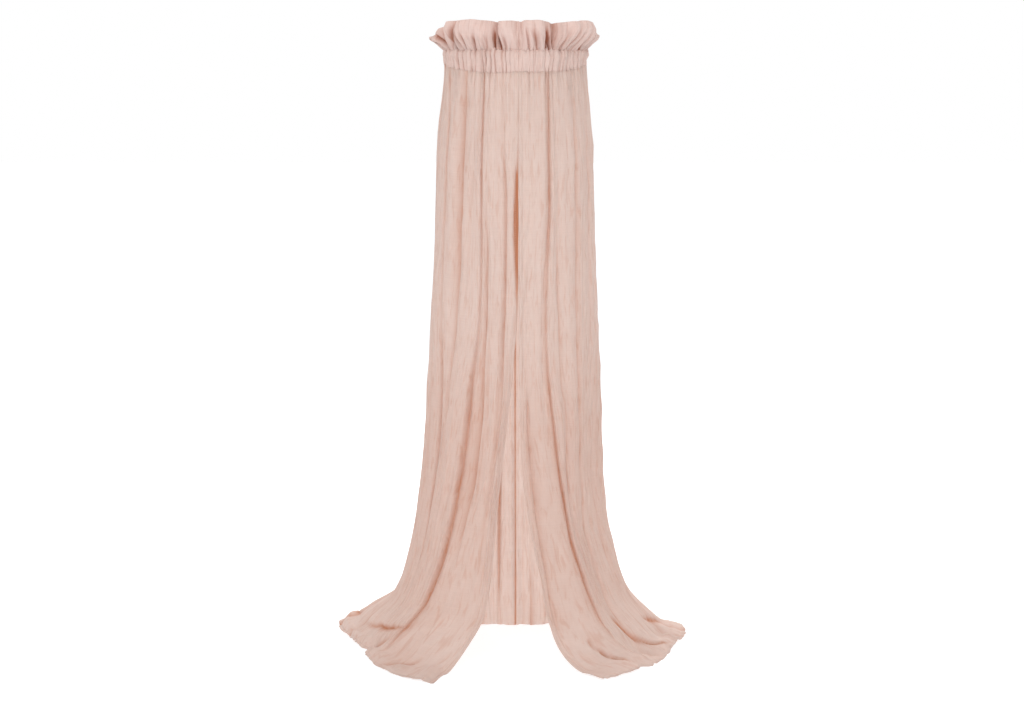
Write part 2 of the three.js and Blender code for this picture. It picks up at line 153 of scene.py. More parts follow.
# Short crinkles down the cloth, and creases across it
crinkle_count = 90
crinkle_depth = 0.0014
crinkle_stray = 0.012
crinkle_places = (0.01, 0.99)
crinkle_widths = (0.003, 0.007)
crinkle_starts, crinkle_lengths = (-0.1, 0.8), (0.08, 0.45)
crinkle_fade_in, crinkle_fade_out = 0.06, 0.09
cross_count = 40
cross_depth = 0.0018
cross_width = 0.0065
cross_places, cross_falls = (0.02, 0.98), (0.12, 0.95)
cross_tilts, cross_heights = (-0.9, 0.9), (-0.8, 0.8)
cross_lengths = (0.015, 0.06)

# Waves: how many across the cloth, and how many down or up it
roll_waves = ((2, 8), (0.2, 1.4))
patch_waves = ((2, 6), (0.5, 2))
soft_waves = ((13, 30), (0.4, 2.5))
crumple_waves = ((9, 26), (2, 8))
ripple_waves = ((25, 70), (0, 1))
ridge_waves = ((4, 11), (1, 3))
held_waves = ((4, 14), (0.1, 0.5))
edge_waves = ((5, 16), (0.1, 0.6))
any_phase = (0, 7)
wave_limits = (-0.2, 1)

# Front edges: turned back below, and the left one tucked in beside the right one above
edge_turn, edge_turn_run = 0.014, 0.045
edge_turn_from, edge_turn_start = 0.36, 0.1
edge_turn_to, edge_turn_end = 0.86, 0.12
right_turn_share = 0.3
slit_depth, slit_width, least_slit = 0.008, 0.012, 0.05

# Where the drape lies on the floor
hem_from, hem_run = 0.93, 0.07
hem_ripple = 0.0012
hem_notch, hem_notch_run = 0.016, 0.02
hem_wave, hem_wave_run, small_wave_share = 0.006, 0.05, 0.4
ridge_height, ridge_roll_share, ridge_edge_run = 0.012, 0.6, 0.06
dent_width, dent_part = 0.007, (0.05, 0.95)
tip_lifts = {"left": 0.037, "right": 0.014}
tip_end_share, tip_end_from, tip_end_run = 0.45, 0.96, 0.03
tip_reach, tip_flat_share = 1.2, 0.7
tip_angle, tip_spread = math.radians(118), math.radians(20)
# It lies flatter at the back, past this angle from the front
back_from, back_run, flat_back_share = 2.0, 0.7, 0.9

# How much painted shade each kind of crease puts on the cloth, and on the low part of the fall
fold_painted_shade, gather_painted_shade, crinkle_painted_shade, low_painted_shade = 0.52, 0.35, 0.15, 0.13
low_painted_shade_from, low_painted_shade_start = 0.35, 0.3
low_painted_shade_to, low_painted_shade_end, low_painted_shade_back_run = 0.86, 0.06, 0.6
# Painted shade along the back seam, and in the creases of the pocket's puckers
seam_painted_shade_run = 0.004
pocket_painted_shade = 0.8

# Threads
thread_radius = 0.00035
thread_rise_share = 0.3
stitch_length = 0.0027
stitch_pitch = 0.0040
# A stitch from end to end: share of its length, share of its thickness
stitch_form = ((-0.5, 0.35), (-0.25, 1.0), (0.25, 1.0), (0.5, 0.35))

# How finely the cloth is drawn
drape_columns, drape_rows = 396, 118
pocket_columns, pocket_points = 640, 30
heading_columns, heading_rows = 560, 34
# Closer near a fold: within what distance of it, and how much closer
fold_closeness, fall_closeness = (0.009, 2.6), (0.06, 1.6)
pucker_closeness, ruffle_closeness = (0.0035, 0.8), (0.010, 1.3)

# Shares of the cloth's levels, from the pocket down to the hem, much as in the solids
level_names = ("height", "open", "front", "side", "back", "fold", "tip", "ridge")
left_level_shares = (
    (1.0, 0.0, 1.014, 1.014, 1.014, 0.0, 0.0, 0.0),
    (0.967, 0.0, 1.06, 1.06, 1.07, 0.7, 0.0, 0.0),
    (0.864, 0.002, 1.11, 1.16, 1.135, 0.95, 0.0, 0.0),
    (0.7, 0.003, 1.157, 1.226, 1.172, 1.0, 0.0, 0.0),
    (0.61, 0.012, 1.178, 1.262, 1.188, 1.0, 0.0, 0.0),
    (0.51, 0.075, 1.2, 1.3, 1.2, 1.0, 0.0, 0.0),
    (0.355, 0.235, 1.245, 1.36, 1.215, 1.0, 0.0, 0.0),
    (0.244, 0.35, 1.29, 1.47, 1.225, 1.0, 0.0, 0.0),
    (0.159, 0.41, 1.34, 1.61, 1.225, 1.0, 0.02, 0.0),
    (0.096, 0.494, 1.4, 1.775, 1.23, 0.9, 0.13, 0.0),
    (0.044, 0.745, 1.51, 2.07, 1.26, 0.7, 0.3, 0.2),
    (0.0, 1.08, 1.69, 2.21, 1.32, 0.35, 0.39, 1.0),
    (0.0, 1.229, 2.17, 2.3, 1.755, 0.2, 0.39, 0.15),
)
right_level_shares = (
    (1.0, 0.0, 1.014, 1.014, 1.014, 0.0, 0.0, 0.0),
    (0.967, 0.0, 1.06, 1.06, 1.07, 0.7, 0.0, 0.0),
    (0.864, 0.002, 1.11, 1.145, 1.135, 0.95, 0.0, 0.0),
    (0.687, 0.006, 1.16, 1.22, 1.175, 1.0, 0.0, 0.0),
    (0.51, 0.01, 1.2, 1.275, 1.2, 1.0, 0.0, 0.0),
    (0.355, 0.042, 1.245, 1.3, 1.215, 1.0, 0.0, 0.0),
    (0.244, 0.171, 1.29, 1.37, 1.225, 1.0, 0.0, 0.0),
    (0.159, 0.32, 1.34, 1.535, 1.225, 1.0, 0.03, 0.0),
    (0.096, 0.41, 1.4, 1.69, 1.23, 0.9, 0.12, 0.0),
    (0.044, 0.57, 1.51, 1.98, 1.26, 0.7, 0.205, 0.2),
    (0.0, 0.96, 1.68, 2.2, 1.32, 0.4, 0.3, 1.0),
    (0.0, 1.2, 1.99, 2.36, 1.755, 0.25, 0.3, 0.15),
)

# Front folds. Each is a line of (share of the fall, share of the way from the front edge to the
# back seam, depth), from the front edge on. The folds at the side and back are scattered.
left_front_folds = (
    ((0, 0.064, 0.3), (0.12, 0.059, 0.4), (0.2, 0.049, 0.7), (0.41, 0.05, 0.8), (0.5, 0.036, 0.6),
     (0.6, 0.026, 0.4), (0.72, 0.026, 0.1)),
    ((0.2, 0.132, 0), (0.3, 0.126, 0.6), (0.44, 0.121, 0.8), (0.58, 0.106, 0.8), (0.65, 0.107, 0.8),
     (0.73, 0.131, 0.6), (0.8, 0.155, 0.1), (0.9, 0.165, 0.3), (1, 0.17, 0.4)),
    ((0, 0.154, 0.8), (0.16, 0.155, 0.8), (0.33, 0.151, 0.5), (0.41, 0.155, 0.5), (0.5, 0.17, 0.8),
     (0.62, 0.173, 0.9), (0.7, 0.186, 1), (0.77, 0.206, 1), (0.85, 0.247, 1), (0.91, 0.262, 1),
     (0.96, 0.27, 0.2)),
    ((0, 0.253, 0.9), (0.05, 0.246, 1.1), (0.28, 0.258, 1.1), (0.37, 0.264, 0.8), (0.5, 0.276, 0.6),
     (0.58, 0.28, 0.3), (0.66, 0.285, 0), (0.85, 0.31, 0), (0.93, 0.33, 0.4), (1, 0.345, 0.5)),
    ((0, 0.39, 0.6), (0.09, 0.356, 0.7), (0.2, 0.349, 0.6), (0.37, 0.352, 0.4), (0.51, 0.322, 0.7),
     (0.61, 0.308, 0.8), (0.66, 0.314, 0.7), (0.77, 0.32, 0.7), (0.85, 0.345, 0.3), (1, 0.4, 0.1)),
)
right_front_folds = (
    ((0.3, 0.034, 0), (0.5, 0.034, 0.2), (0.57, 0.032, 0.6), (0.63, 0.039, 0.5), (0.75, 0.03, 0.5),
     (0.85, 0.024, 0.5), (0.95, 0.024, 0.2)),
    ((0, 0.14, 0.9), (0.2, 0.139, 0.9), (0.36, 0.113, 0.7), (0.43, 0.11, 0.7), (0.51, 0.121, 0.9),
     (0.59, 0.14, 1), (0.695, 0.156, 1.1), (0.76, 0.158, 1.1), (0.82, 0.176, 1.1),
     (0.88, 0.196, 0.8), (0.95, 0.2, 0.2)),
    ((0.2, 0.165, 0), (0.33, 0.166, 0.6), (0.41, 0.172, 0.6), (0.49, 0.175, 0.5),
     (0.56, 0.198, 0.6), (0.65, 0.19, 0.6), (0.71, 0.185, 0.1), (0.88, 0.225, 0.1), (1, 0.24, 0.5)),
    ((0, 0.268, 0.2), (0.1, 0.281, 0.7), (0.25, 0.261, 0.9), (0.36, 0.246, 0.8), (0.59, 0.253, 0.8),
     (0.69, 0.242, 1), (0.74, 0.228, 1.1), (0.79, 0.236, 1.1), (0.85, 0.252, 1), (0.92, 0.28, 0.3)),
    ((0.05, 0.37, 0), (0.15, 0.37, 0.6), (0.3, 0.345, 0.4), (0.5, 0.35, 0.1), (0.68, 0.33, 0.4),
     (0.78, 0.33, 0.6), (0.88, 0.37, 0.3), (1, 0.41, 0.4)),
)
scattered_folds = 9
scatter_steps = (0.7, 1.3)
scatter_falls, scatter_fall = (0, 0.22, 0.45, 0.7, 1), 0.08
scatter_stray = 0.007
# The middle and spread of their depths, and the least and most
scatter_depth, scatter_depth_limits = (1.0, 0.35), (0.2, 1.35)

# Where the left panel's front edge is tucked in beside the right one: share of the fall, how far
slit_shares = (
    (0, 0), (0.11, 0.2), (0.15, 0.5), (0.17, 1), (0.25, 1.3), (0.31, 1), (0.37, 0.5), (0.43, 0.2),
    (1, 0),
)

# Creases of the cloth on the floor, each from one (share across, share of the fall) to another
left_floor_creases = (
    ((0.23, 0.905), (0.46, 0.935)), ((0.28, 0.925), (0.36, 0.99)), ((0.2, 0.995), (0.11, 0.94)),
    ((0.5, 0.93), (0.62, 0.97)),
)
right_floor_creases = (
    ((0.1, 0.91), (0.16, 0.995)), ((0.28, 0.925), (0.38, 0.995)), ((0.4, 0.91), (0.55, 0.95)),
    ((0.24, 0.88), (0.3, 0.95)),
)

# Lobes of the ruffle, from the front to the back seam: where each ends, how far it stands out,
# and how far its top leans towards the back
left_lobes = (
    (0.085, 0.6, 0.2), (0.395, 0.84, -0.04), (0.56, 0.95, 0.12), (0.68, 0.85, 0.2),
    (0.8, 0.95, -0.15), (0.91, 0.7, -0.2), (1.0, 0.8, 0.0),
)
right_lobes = (
    (0.155, 0.62, -0.15), (0.51, 0.82, 0.06), (0.64, 1.0, 0.15), (0.76, 0.9, 0.2),
    (0.88, 0.8, -0.2), (1.0, 0.75, 0.0),
)
# How far its top edge droops: place, metres
left_droops = (
    (0, 0), (0.3, -0.002), (0.37, -0.001), (0.405, 0.016), (0.46, 0.034), (0.54, 0.03),
    (0.7, 0.008), (1, 0.002),
)
right_droops = (
    (0, 0), (0.3, -0.001), (0.38, 0.005), (0.46, 0.024), (0.54, 0.026), (0.7, 0.01), (1, 0.002),
)
# Creases that run up it from the seam: where each starts, how far it moves by the top, its depth
left_ruffle_creases = (
    (0.05, 0.01, 0.4), (0.075, 0.006, 1.0), (0.106, 0.0, 1.2), (0.142, -0.016, 0.5),
    (0.2, -0.027, 1.0), (0.242, 0.014, 1.5), (0.268, 0.03, 0.8), (0.305, -0.015, 1.5),
    (0.327, -0.03, 1.4), (0.4, 0.04, 1.3), (0.44, 0.09, 1.3), (0.5, 0.03, 0.7),
)
right_ruffle_creases = (
    (0.045, 0.005, 0.4), (0.085, -0.008, 0.8), (0.125, 0.02, 1.0), (0.142, -0.01, 0.9),
    (0.2, 0.02, 0.4), (0.24, 0.03, 0.6), (0.275, 0.02, 0.6), (0.335, 0.0, 1.1), (0.37, 0.06, 1.3),
    (0.41, 0.08, 1.3), (0.47, 0.05, 0.7),
)
scattered_creases = 13
# How far it stands out, from its foot up
flare_shares = ((0.0, 0.0), (0.2, 0.36), (0.5, 0.88), (0.75, 1.0), (1.0, 0.8))


def curve(points, x):
    """A smooth line through points that never swings past them."""
    xs, ys = (np.array(side, float) for side in zip(*points))
    gap = np.diff(xs)
    rise = np.diff(ys) / gap
    slope = np.zeros_like(xs)
    slope[0], slope[-1] = rise[0], rise[-1]
    both = rise[:-1] * rise[1:] > 0
    safe = np.where(both, rise[:-1] + rise[1:], 1.0)
    slope[1:-1] = np.where(both, 2 * rise[:-1] * rise[1:] / safe, 0.0)
    n = np.clip(np.searchsorted(xs, x, side="right") - 1, 0, len(gap) - 1)
    t = np.clip((x - xs[n]) / gap[n], 0, 1)
    from_start = (1 + 2 * t) * (1 - t) ** 2 * ys[n] + t * (1 - t) ** 2 * gap[n] * slope[n]
    to_end = t * t * (3 - 2 * t) * ys[n + 1] + t * t * (t - 1) * gap[n] * slope[n + 1]
    return from_start + to_end


def smooth(share):
    t = np.clip(share, 0, 1)
    return t * t * (3 - 2 * t)


def bell(away, width, power=2.0):
    return np.exp(-(np.abs(away / width) ** power))


def wander(seed, along, waves=4):
    """A slow uneven wave along a fold, about 1 high."""
    rng = np.random.default_rng(seed)
    total = 0
    for n in range(waves):
        height, turns = rng.normal(0, 0.6), 2 * math.pi * (0.6 + 0.9 * n)
        total = total + height * np.sin(turns * along + rng.uniform(*any_phase)) / (n + 1)
    return total


def spread(places, width, extra, count, kept=()):
    """Places along the cloth, closer together near the given ones, with some kept exactly."""
    fine = np.linspace(0, 1, 4001)
    density = 1 + extra * sum(bell(fine - place, width) for place in places)
    travelled = np.concatenate([[0], np.cumsum((density[1:] + density[:-1]) / 2)])
    free = np.interp(np.linspace(0, travelled[-1], count - len(kept)), travelled, fine)
    return np.sort(np.concatenate([free, kept]))


def arches(places, at, roundness):
    """Rounded folds between sharp creases: 0 in a crease, 1 on the crest. Also which fold it is."""
    n = np.clip(np.searchsorted(places, at, side="right") - 1, 0, len(places) - 2)
    within = np.clip((at - places[n]) / (places[n + 1] - places[n]), 0, 1)
    return (4 * within * (1 - within)) ** roundness, n, within


def uneven_places(seed, count, evenness=0.5):
    rng = np.random.default_rng(seed)
    steps = rng.uniform(evenness, 2 - evenness, count)
    return np.concatenate([[0], np.cumsum(steps) / steps.sum()])


def around(side, angle, radius, z):
    """A point at an angle from the front, left (-1) or right (1) of the hoop's axis."""
    x = side * radius * np.sin(angle)
    y = -radius * np.cos(angle)
    return np.stack(np.broadcast_arrays(x, y, z), axis=-1)


def outward(grid):
    """Unit normals of a grid of points, away from the hoop's axis on the whole."""
    down, across = np.gradient(grid, axis=0), np.gradient(grid, axis=1)
    normal = np.cross(down, across)
    normal /= np.maximum(np.linalg.norm(normal, axis=-1, keepdims=True), 1e-12)
    away = (normal[..., :2] * grid[..., :2]).sum()
    return normal if away > 0 else -normal


def mesh_piece(name, points, faces, uv=None, crease=None):
    """A mesh with its cloth coordinates in metres, and how much painted shade each point has."""
    mesh = bpy.data.meshes.new(name)
    mesh.from_pydata(points.tolist(), [], faces.tolist())
    if uv is not None:
        layer = mesh.uv_layers.new(name="cloth")
        corner = np.empty(len(mesh.loops), np.int32)
        mesh.loops.foreach_get("vertex_index", corner)
        layer.data.foreach_set("uv", uv[corner].astype(np.float32).ravel())
        # The crease attribute holds how much painted shade each point has
        painted_shade = mesh.attributes.new("crease", "FLOAT", "POINT")
        painted_shade.data.foreach_set("value", crease.astype(np.float32))
    mesh.polygons.foreach_set("use_smooth", np.ones(len(mesh.polygons), bool))
    mesh.update()
    piece = bpy.data.objects.new(name, mesh)
    bpy.context.scene.collection.objects.link(piece)
    return piece


def grid_faces(rows, columns):
    row, column = np.meshgrid(np.arange(rows - 1), np.arange(columns - 1), indexing="ij")
    a = (row * columns + column).ravel()
    return np.stack([a, a + 1, a + columns + 1, a + columns], axis=1)


def rim(rows, columns):
    top = np.arange(columns)
    right = np.arange(1, rows) * columns + columns - 1
    bottom = (rows - 1) * columns + np.arange(columns - 2, -1, -1)
    left = np.arange(rows - 2, 0, -1) * columns
    return np.concatenate([top, right, bottom, left])


def cloth(name, outer, thickness, uv, crease, lowest=None):
    """A closed thin sheet: the outer face, the inner face behind it, and the edge between."""
    rows, columns = outer.shape[:2]
    inner = outer - outward(outer) * thickness
    if lowest is not None:
        inner[..., 2] = np.maximum(inner[..., 2], lowest)
    front = grid_faces(rows, columns)
    down, across = outer[1, 0] - outer[0, 0], outer[0, 1] - outer[0, 0]
    facing = np.dot(np.cross(across, down), (outer - inner)[0, 0]) > 0
    front = front if facing else front[:, ::-1]
    count = rows * columns
    back = front[:, ::-1] + count
    edge = rim(rows, columns)
    following = np.roll(edge, -1)
    side = np.stack([edge, edge + count, following + count, following], axis=1)
    side = side if facing else side[:, ::-1]
    points = np.concatenate([outer.reshape(-1, 3), inner.reshape(-1, 3)])
    faces = np.concatenate([front, back, side])
    flat = uv.reshape(-1, 2)
    painted_shade = crease.ravel()
    return mesh_piece(name, points, faces, np.tile(flat, (2, 1)), np.tile(painted_shade, 2))


def turn_out(piece):
    """Faces of a closed piece point outwards."""
    bpy.ops.object.select_all(action="DESELECT")
    piece.select_set(True)
    bpy.context.view_layer.objects.active = piece
    bpy.ops.object.mode_set(mode="EDIT")
    bpy.ops.mesh.select_all(action="SELECT")
    bpy.ops.mesh.normals_make_consistent(inside=False)
    bpy.ops.object.mode_set(mode="OBJECT")


def along_line(line, travelled, at):
    """The points of a line at the given distances along it."""
    return np.stack([np.interp(at, travelled, line[:, k]) for k in range(3)], axis=1)


def unit_rows(rows):
    return rows / np.maximum(np.linalg.norm(rows, axis=1, keepdims=True), 1e-9)


def stitches(name, runs):
    """Rows of raised stitches. A run is a line of points on the cloth and the cloth's normals."""
    sides = 4
    turns = [2 * math.pi * (corner + 0.5) / sides for corner in range(sides)]
    unit = np.array([
        (end * stitch_length, math.cos(turn) * wide, math.sin(turn) * wide)
        for end, wide in stitch_form
        for turn in turns
    ])
    corners = np.arange(sides)
    following = (corners + 1) % sides
    faces = [
        (r * sides + a, r * sides + b, (r + 1) * sides + b, (r + 1) * sides + a)
        for r in range(len(stitch_form) - 1)
        for a, b in zip(corners, following)
    ]
    faces += [tuple(corners[::-1]), tuple(corners + len(unit) - sides)]
    quads = np.array(faces)
    all_points, all_faces, count = [], [], 0
    for line, normal in runs:
        step = np.linalg.norm(np.diff(line, axis=0), axis=1)
        travelled = np.concatenate([[0], np.cumsum(step)])
        at = np.arange(stitch_pitch / 2, travelled[-1], stitch_pitch)
        place = along_line(line, travelled, at)
        ahead = along_line(line, travelled, at + stitch_length / 2)
        behind = along_line(line, travelled, at - stitch_length / 2)
        along = unit_rows(ahead - behind)
        up = along_line(normal, travelled, at)
        up = unit_rows(up - along * (along * up).sum(axis=1, keepdims=True))
        across = np.cross(up, along)
        for point, a, b, c in zip(place, along, across, up):
            turned = unit[:, :1] * a + thread_radius * (unit[:, 1:2] * b + unit[:, 2:] * c)
            all_points.append(turned + point + c * thread_radius * thread_rise_share)
            all_faces.append(quads + count)
            count += len(unit)
    piece = mesh_piece(name, np.concatenate(all_points), np.concatenate(all_faces))
    turn_out(piece)
    return piece


def levels_of(shares, fall_at):
    """The levels drawn finely, at shares of the cloth's fall."""
    table = np.array(shares)
    reach = table[:, [2, 3, 4]].mean(axis=1) * hoop_radius
    height = table[:, 0] * (hoop_height - pocket_drop)
    fall = np.concatenate([[0], np.cumsum(np.hypot(np.diff(reach), np.diff(height)))])
    fall /= fall[-1]
    return {
        name: curve(list(zip(fall, table[:, k])), fall_at)[:, None]
        for k, name in enumerate(level_names)
    }


def envelope(side, level):
    """The front edge's angle at each level, and the reach of the cloth at any angle."""
    x = front_meet + side * (front_gap / 2 + level["open"] * hoop_radius)
    y = level["front"] * hoop_radius
    edge = np.arctan2(side * x, y)
    edge_reach = np.hypot(x, y)

    def reach(angle):
        near = smooth((angle - edge) / (math.pi / 2 - edge))
        far = smooth((angle - math.pi / 2) / (math.pi / 2))
        round_part = edge_reach / hoop_radius * (1 - near) + level["side"] * near
        round_part = round_part * (1 - far) + level["back"] * far
        return hoop_radius * round_part * (1 + level["tip"] * bell(angle - tip_angle, tip_spread))

    return edge, reach


def pocket_foot(angle):
    """How far the pocket's lower seam is under the hoop: it hangs lower at the front and back."""
    return pocket_drop - pocket_lift * np.sin(angle) ** 4


def pucker(puckers, sizes, at):
    """The gathers of the stitched seam: 0 in a crease, about 1 on a crest, calm at its ends."""
    crest, n, _ = arches(puckers, at, pucker_roundness)
    ends = bell(at, calm_end_run, 4) + bell(1 - at, calm_end_run, 4)
    return np.maximum(crest * sizes[n], calm_end * ends)


def rolling(seed, across, along, across_waves, along_waves, waves=9):
    """A slow uneven swell over the cloth, about 1 high, made of waves lying different ways."""
    rng = np.random.default_rng(seed)
    total = 0.0
    for _ in range(waves):
        down = rng.choice([-1, 1]) * rng.uniform(*along_waves)
        turns = rng.uniform(*across_waves) * across + down * along
        total = total + np.sin(2 * math.pi * turns + rng.uniform(*any_phase))
    return total / math.sqrt(waves / 2)


def with_scattered(front_folds, seed):
    """The front folds, and more of them scattered over the side and the back."""
    rng = np.random.default_rng(seed)
    last = max(share for _, share, _ in front_folds[-1])
    steps = rng.uniform(*scatter_steps, scattered_folds + 1)
    places = last + (1 - last) * np.cumsum(steps)[:-1] / steps.sum()
    folds = list(front_folds)
    for place in places:
        moved = rng.uniform(0, scatter_fall, len(scatter_falls)) * (0, 1, 1, 1, 0)
        shares = place + scatter_stray * rng.normal(size=len(scatter_falls))
        depths = rng.normal(*scatter_depth, len(scatter_falls))
        depths = np.clip(depths, *scatter_depth_limits)
        folds.append(tuple(zip(np.array(scatter_falls) + moved, shares, depths)))
    return folds


def along_fold(fold, fall, k):
    return curve([(point[0], point[k]) for point in fold], fall)


def fold_relief(folds, places, at, fall_at, rng):
    """How deep each point lies in a fold, and how far it leans across with it."""
    sink = np.zeros((len(fall_at), at.size))
    shift = np.zeros_like(sink)
    for fold, place in zip(folds, places):
        strength = along_fold(fold, fall_at, 2)[:, None]
        leaning = rng.choice([-1, 1])
        steep = rng.uniform(*steep_scatter) * fold_steep
        gentle = rng.uniform(*gentle_scatter) * fold_gentle
        width = np.where((at - place) * leaning > 0, steep, gentle)
        core = bell(at - place, width, fold_power)
        shoulder = bell(at - place, fold_shoulder)
        sink += strength * ((1 - shoulder_share) * core + shoulder_share * shoulder)
        shift += leaning * rng.uniform(*lean_scatter) * fold_lean * strength * core
    sink *= smooth(at / sewn_run) * smooth((1 - at) / sewn_run)
    shift *= smooth(at / lean_run) * smooth((1 - at) / lean_run)
    return sink, shift


def loose_swell(seed, at, fall, loose):
    """How far the loose cloth swells out between its folds."""
    swell = roll_depth * rolling(seed + 70, at, fall, *roll_waves)
    patches = smooth(patch_cover + patch_contrast * rolling(seed + 73, at, fall, *patch_waves))
    swell = swell + soft_depth * rolling(seed + 71, at, fall, *soft_waves) * patches
    crumple = 1 - np.abs(rolling(seed + 72, at, fall, *crumple_waves, waves=6))
    return loose * (swell + crumple_depth * crumple)


def crinkles(seed, at, fall, rng):
    """Short fine crinkles down the cloth, some out and some in."""
    relief = 0.0
    for n in range(crinkle_count):
        stray = crinkle_stray * wander(seed + 200 + n, fall, 3)
        place = rng.uniform(*crinkle_places) + stray
        width = rng.uniform(*crinkle_widths)
        start, length = rng.uniform(*crinkle_starts), rng.uniform(*crinkle_lengths)
        window = smooth((fall - start) / crinkle_fade_in)
        window = window * smooth((start + length - fall) / crinkle_fade_out)
        relief = relief + rng.uniform(-1.0, 1.0) * window * bell(at - place, width)
    return relief


def cross_creases(at, fall, rng):
    """Short creases that slant across the cloth, some out and some in."""
    relief = 0.0
    for _ in range(cross_count):
        place, along = rng.uniform(*cross_places), rng.uniform(*cross_falls)
        tilt, height = rng.uniform(*cross_tilts), rng.uniform(*cross_heights)
        away = (fall - along) - tilt * (at - place)
        length = rng.uniform(*cross_lengths)
        relief = relief + height * bell(away, cross_width) * bell(at - place, length)
    return relief


def floor_dents(floor_creases, drawn, fall):
    """The creases of the cloth on the floor, each deepest in the middle of its line."""
    dents = np.zeros_like(drawn)
    for (share, start), (other, end) in floor_creases:
        run = np.array(((other - share) * panel_width, (end - start) * drape_length))
        across, down = (drawn - share) * panel_width, (fall - start) * drape_length
        from_start = np.stack(np.broadcast_arrays(across, down))
        part = np.clip((from_start * run[:, None, None]).sum(axis=0) / (run @ run), 0, 1)
        away = np.linalg.norm(from_start - part * run[:, None, None], axis=0)
        deep = np.sin(math.pi * np.clip(part, *dent_part))
        dents += deep * bell(away, dent_width, fold_power)
    return dents


def front_edge(side, at, fall):
    """How far the front edge is turned back, and how far it is tucked in beside the other."""
    turned = edge_turn * (1 - smooth(at / edge_turn_run))
    turned = turned * smooth((fall - edge_turn_from) / edge_turn_start)
    turned = turned * smooth((edge_turn_to - fall) / edge_turn_end)
    if side > 0:
        return right_turn_share * turned, np.zeros_like(turned)
    slit = curve(slit_shares, fall)
    width = slit_width * np.maximum(slit, least_slit)
    return turned, slit * (1 - smooth(at / width - 0.5))


def lying_rise(where, seed, at, fall, level, angle, sink):
    """How high the cloth stands where it lies on the floor, and how near it is to its tip."""
    at_tip = bell(angle - tip_angle, tip_reach * tip_spread)
    at_end = smooth((fall - tip_end_from) / tip_end_run)
    tips = tip_lifts[where] * at_tip * np.maximum(level["ridge"], tip_end_share * at_end)
    rolls = ridge_roll_share * rolling(seed + 75, at, fall, *ridge_waves)
    ridges = ridge_height * (1 - np.clip(sink, 0, 1) + rolls) * (1 - tip_flat_share * at_tip)
    flat_back = 1 - flat_back_share * smooth((angle - back_from) / back_run)
    waves = wander(seed + 90, at * 5) + small_wave_share * wander(seed + 91, at * 17)
    waves = hem_wave * np.clip(waves, *wave_limits)
    lying = level["ridge"] * ridges * flat_back * smooth(at / ridge_edge_run) + tips
    lying = lying + waves * smooth((fall - hem_from) / hem_wave_run) * flat_back
    return lying, at_tip


def painted_drape_shade(at, fall, angle, at_tip, sink, gather, crinkle, dents, tucked):
    """Painted shade on the cloth: in its creases, at its seam, in the slit, and a little low down.
    """
    tint = fold_painted_shade * np.clip(sink, 0, 1.1) ** 1.6
    tint = tint + gather_painted_shade * np.clip(-gather, 0, 1) + crinkle_painted_shade * np.clip(crinkle, 0, 1)
    lying = smooth((fall - low_painted_shade_to) / low_painted_shade_end)
    low_down = smooth((fall - low_painted_shade_from) / low_painted_shade_start) * (1 - (0.5 + 0.5 * at_tip) * lying)
    tint = tint + low_painted_shade * low_down * (1 - smooth((angle - back_from) / low_painted_shade_back_run))
    tint = np.maximum(tint, np.clip(dents, 0, 1) ** 1.2)
    tint = np.maximum(tint, bell(1 - at, seam_painted_shade_run))
    return np.clip(np.maximum(tint, tucked), 0, 1)


